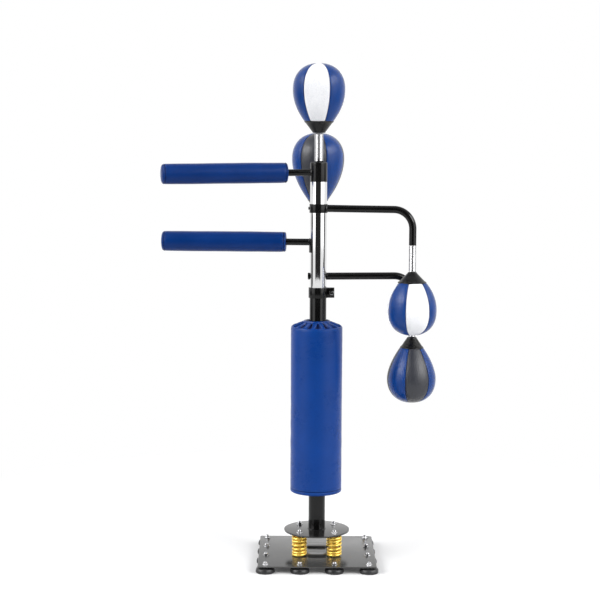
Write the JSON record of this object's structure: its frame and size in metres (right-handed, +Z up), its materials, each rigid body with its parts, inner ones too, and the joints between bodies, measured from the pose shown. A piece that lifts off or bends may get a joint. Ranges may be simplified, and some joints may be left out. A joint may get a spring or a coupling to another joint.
{
  "type": "boxing punch machine",
  "caption": "Free-standing boxing machine: suction-cup base, coil springs, padded pole and a turning head with padded bars and sprung strike balls.",
  "frame": {"origin": "middle of the machine's overall box at floor level", "axes": "+Z up, -Y the front, +X to the right, with the padded bars on the left"},
  "size_m": [1.1041, 0.5788, 1.994],
  "materials": {
    "black_paint": "gloss black powder coat",
    "chrome": "bright chrome",
    "bright_steel": "zinc plated",
    "gold_paint": "metallic gold",
    "blue_vinyl": "smooth blue vinyl",
    "blue_white_leather": "blue and white panels",
    "blue_black_leather": "blue and black panels",
    "black_rubber": "matt rubber"
  },
  "bodies": {
    "base": {"base_plate": "black_paint", "cup_nut_01": "bright_steel", "cup_nut_02": "bright_steel", "cup_nut_03": "bright_steel", "cup_nut_04": "bright_steel", "cup_nut_05": "bright_steel", "cup_nut_06": "bright_steel", "cup_nut_07": "bright_steel", "cup_nut_08": "bright_steel", "cup_nut_09": "bright_steel", "cup_nut_10": "bright_steel", "cup_nut_11": "bright_steel", "cup_nut_12": "bright_steel", "spring_seat_front": "black_paint", "spring_seat_rear": "black_paint", "suction_cup_01": "black_rubber", "suction_cup_02": "black_rubber", "suction_cup_03": "black_rubber", "suction_cup_04": "black_rubber", "suction_cup_05": "black_rubber", "suction_cup_06": "black_rubber", "suction_cup_07": "black_rubber", "suction_cup_08": "black_rubber", "suction_cup_09": "black_rubber", "suction_cup_10": "black_rubber", "suction_cup_11": "black_rubber", "suction_cup_12": "black_rubber"},
    "spring_stage": {"base_spring_front_left": "gold_paint", "base_spring_front_right": "gold_paint", "base_spring_rear_left": "gold_paint", "base_spring_rear_right": "gold_paint"},
    "post": {"top_disc": "black_paint", "disc_bolt_front_left": "bright_steel", "disc_bolt_front_right": "bright_steel", "disc_bolt_rear_left": "bright_steel", "disc_bolt_rear_right": "bright_steel", "lower_pole": "black_paint", "pole_clamp": "black_paint", "clamp_bolt": "bright_steel", "heavy_bag": "blue_vinyl"},
    "mast": {"mast": "bright_steel"},
    "head": {"chrome_sleeve": "chrome", "hub": "black_paint", "upper_bar_rod": "black_paint", "upper_bar_pad": "blue_vinyl", "lower_bar_rod": "black_paint", "lower_bar_pad": "blue_vinyl", "saddle": "black_paint", "lower_arm": "black_paint", "rear_arm": "black_paint"},
    "upper_arm": {"upper_arm": "black_paint", "band_screw": "bright_steel"},
    "top_coil": {"top_spring": "chrome"},
    "top_ball": {"top_ball": "blue_white_leather"},
    "rear_coil": {"rear_spring": "chrome"},
    "rear_ball": {"rear_ball": "blue_black_leather"},
    "upper_coil": {"upper_spring": "chrome"},
    "upper_ball": {"upper_ball": "blue_white_leather"},
    "lower_coil": {"lower_spring": "chrome"},
    "lower_ball": {"lower_ball": "blue_black_leather"}
  },
  "joints": [
    {"name": "base_tilt_forward", "type": "hinge", "parent": "base", "child": "spring_stage", "pos_m": [0.07455, -0.04763, 0.05493], "axis": [1, 0, 0], "range_deg": [-8, 8], "stiffness_Nm_per_rad": 2400, "deforming": ["base_spring_front_left", "base_spring_front_right", "base_spring_rear_left", "base_spring_rear_right"]},
    {"name": "base_tilt_sideways", "type": "hinge", "parent": "spring_stage", "child": "post", "pos_m": [0.07455, -0.04763, 0.09657], "axis": [0, 1, 0], "range_deg": [-8, 8], "stiffness_Nm_per_rad": 2400},
    {"name": "height_slide", "type": "slide", "parent": "post", "child": "mast", "axis": [0, 0, 1], "range_m": [0, 0.25]},
    {"name": "head_spin", "type": "hinge", "parent": "mast", "child": "head", "pos_m": [0.07455, -0.04763, 1.4855], "axis": [0, 0, 1], "continuous": true},
    {"name": "upper_arm_swivel", "type": "hinge", "parent": "head", "child": "upper_arm", "pos_m": [0.07455, -0.04763, 1.4232], "axis": [0, 0, 1], "range_deg": [-75, 0]},
    {"name": "top_ball_sway_x", "type": "hinge", "parent": "head", "child": "top_coil", "pos_m": [0.07455, -0.04763, 1.635], "axis": [1, 0, 0], "range_deg": [-25, 25], "stiffness_Nm_per_rad": 30, "deforming": ["top_spring"]},
    {"name": "top_ball_sway_y", "type": "hinge", "parent": "top_coil", "child": "top_ball", "pos_m": [0.07455, -0.04763, 1.692], "axis": [0, 1, 0], "range_deg": [-25, 25], "stiffness_Nm_per_rad": 30},
    {"name": "rear_ball_sway_x", "type": "hinge", "parent": "head", "child": "rear_coil", "pos_m": [0.07455, 0.18238, 1.341], "axis": [1, 0, 0], "range_deg": [-25, 16], "stiffness_Nm_per_rad": 30, "deforming": ["rear_spring"]},
    {"name": "rear_ball_sway_y", "type": "hinge", "parent": "rear_coil", "child": "rear_ball", "pos_m": [0.07455, 0.18238, 1.396], "axis": [0, 1, 0], "range_deg": [-25, 25], "stiffness_Nm_per_rad": 30},
    {"name": "upper_ball_sway_x", "type": "hinge", "parent": "upper_arm", "child": "upper_coil", "pos_m": [0.44326, -0.13956, 1.2575], "axis": [1, 0, 0], "range_deg": [-25, 4], "stiffness_Nm_per_rad": 30, "deforming": ["upper_spring"]},
    {"name": "upper_ball_sway_y", "type": "hinge", "parent": "upper_coil", "child": "upper_ball", "pos_m": [0.44326, -0.13956, 1.2055], "axis": [0, 1, 0], "range_deg": [-25, 25], "stiffness_Nm_per_rad": 30},
    {"name": "lower_ball_sway_x", "type": "hinge", "parent": "head", "child": "lower_coil", "pos_m": [0.45445, -0.00769, 0.9825], "axis": [1, 0, 0], "range_deg": [-15, 25], "stiffness_Nm_per_rad": 30, "deforming": ["lower_spring"]},
    {"name": "lower_ball_sway_y", "type": "hinge", "parent": "lower_coil", "child": "lower_ball", "pos_m": [0.45445, -0.00769, 0.9305], "axis": [0, 1, 0], "range_deg": [-25, 25], "stiffness_Nm_per_rad": 30}
  ]
}
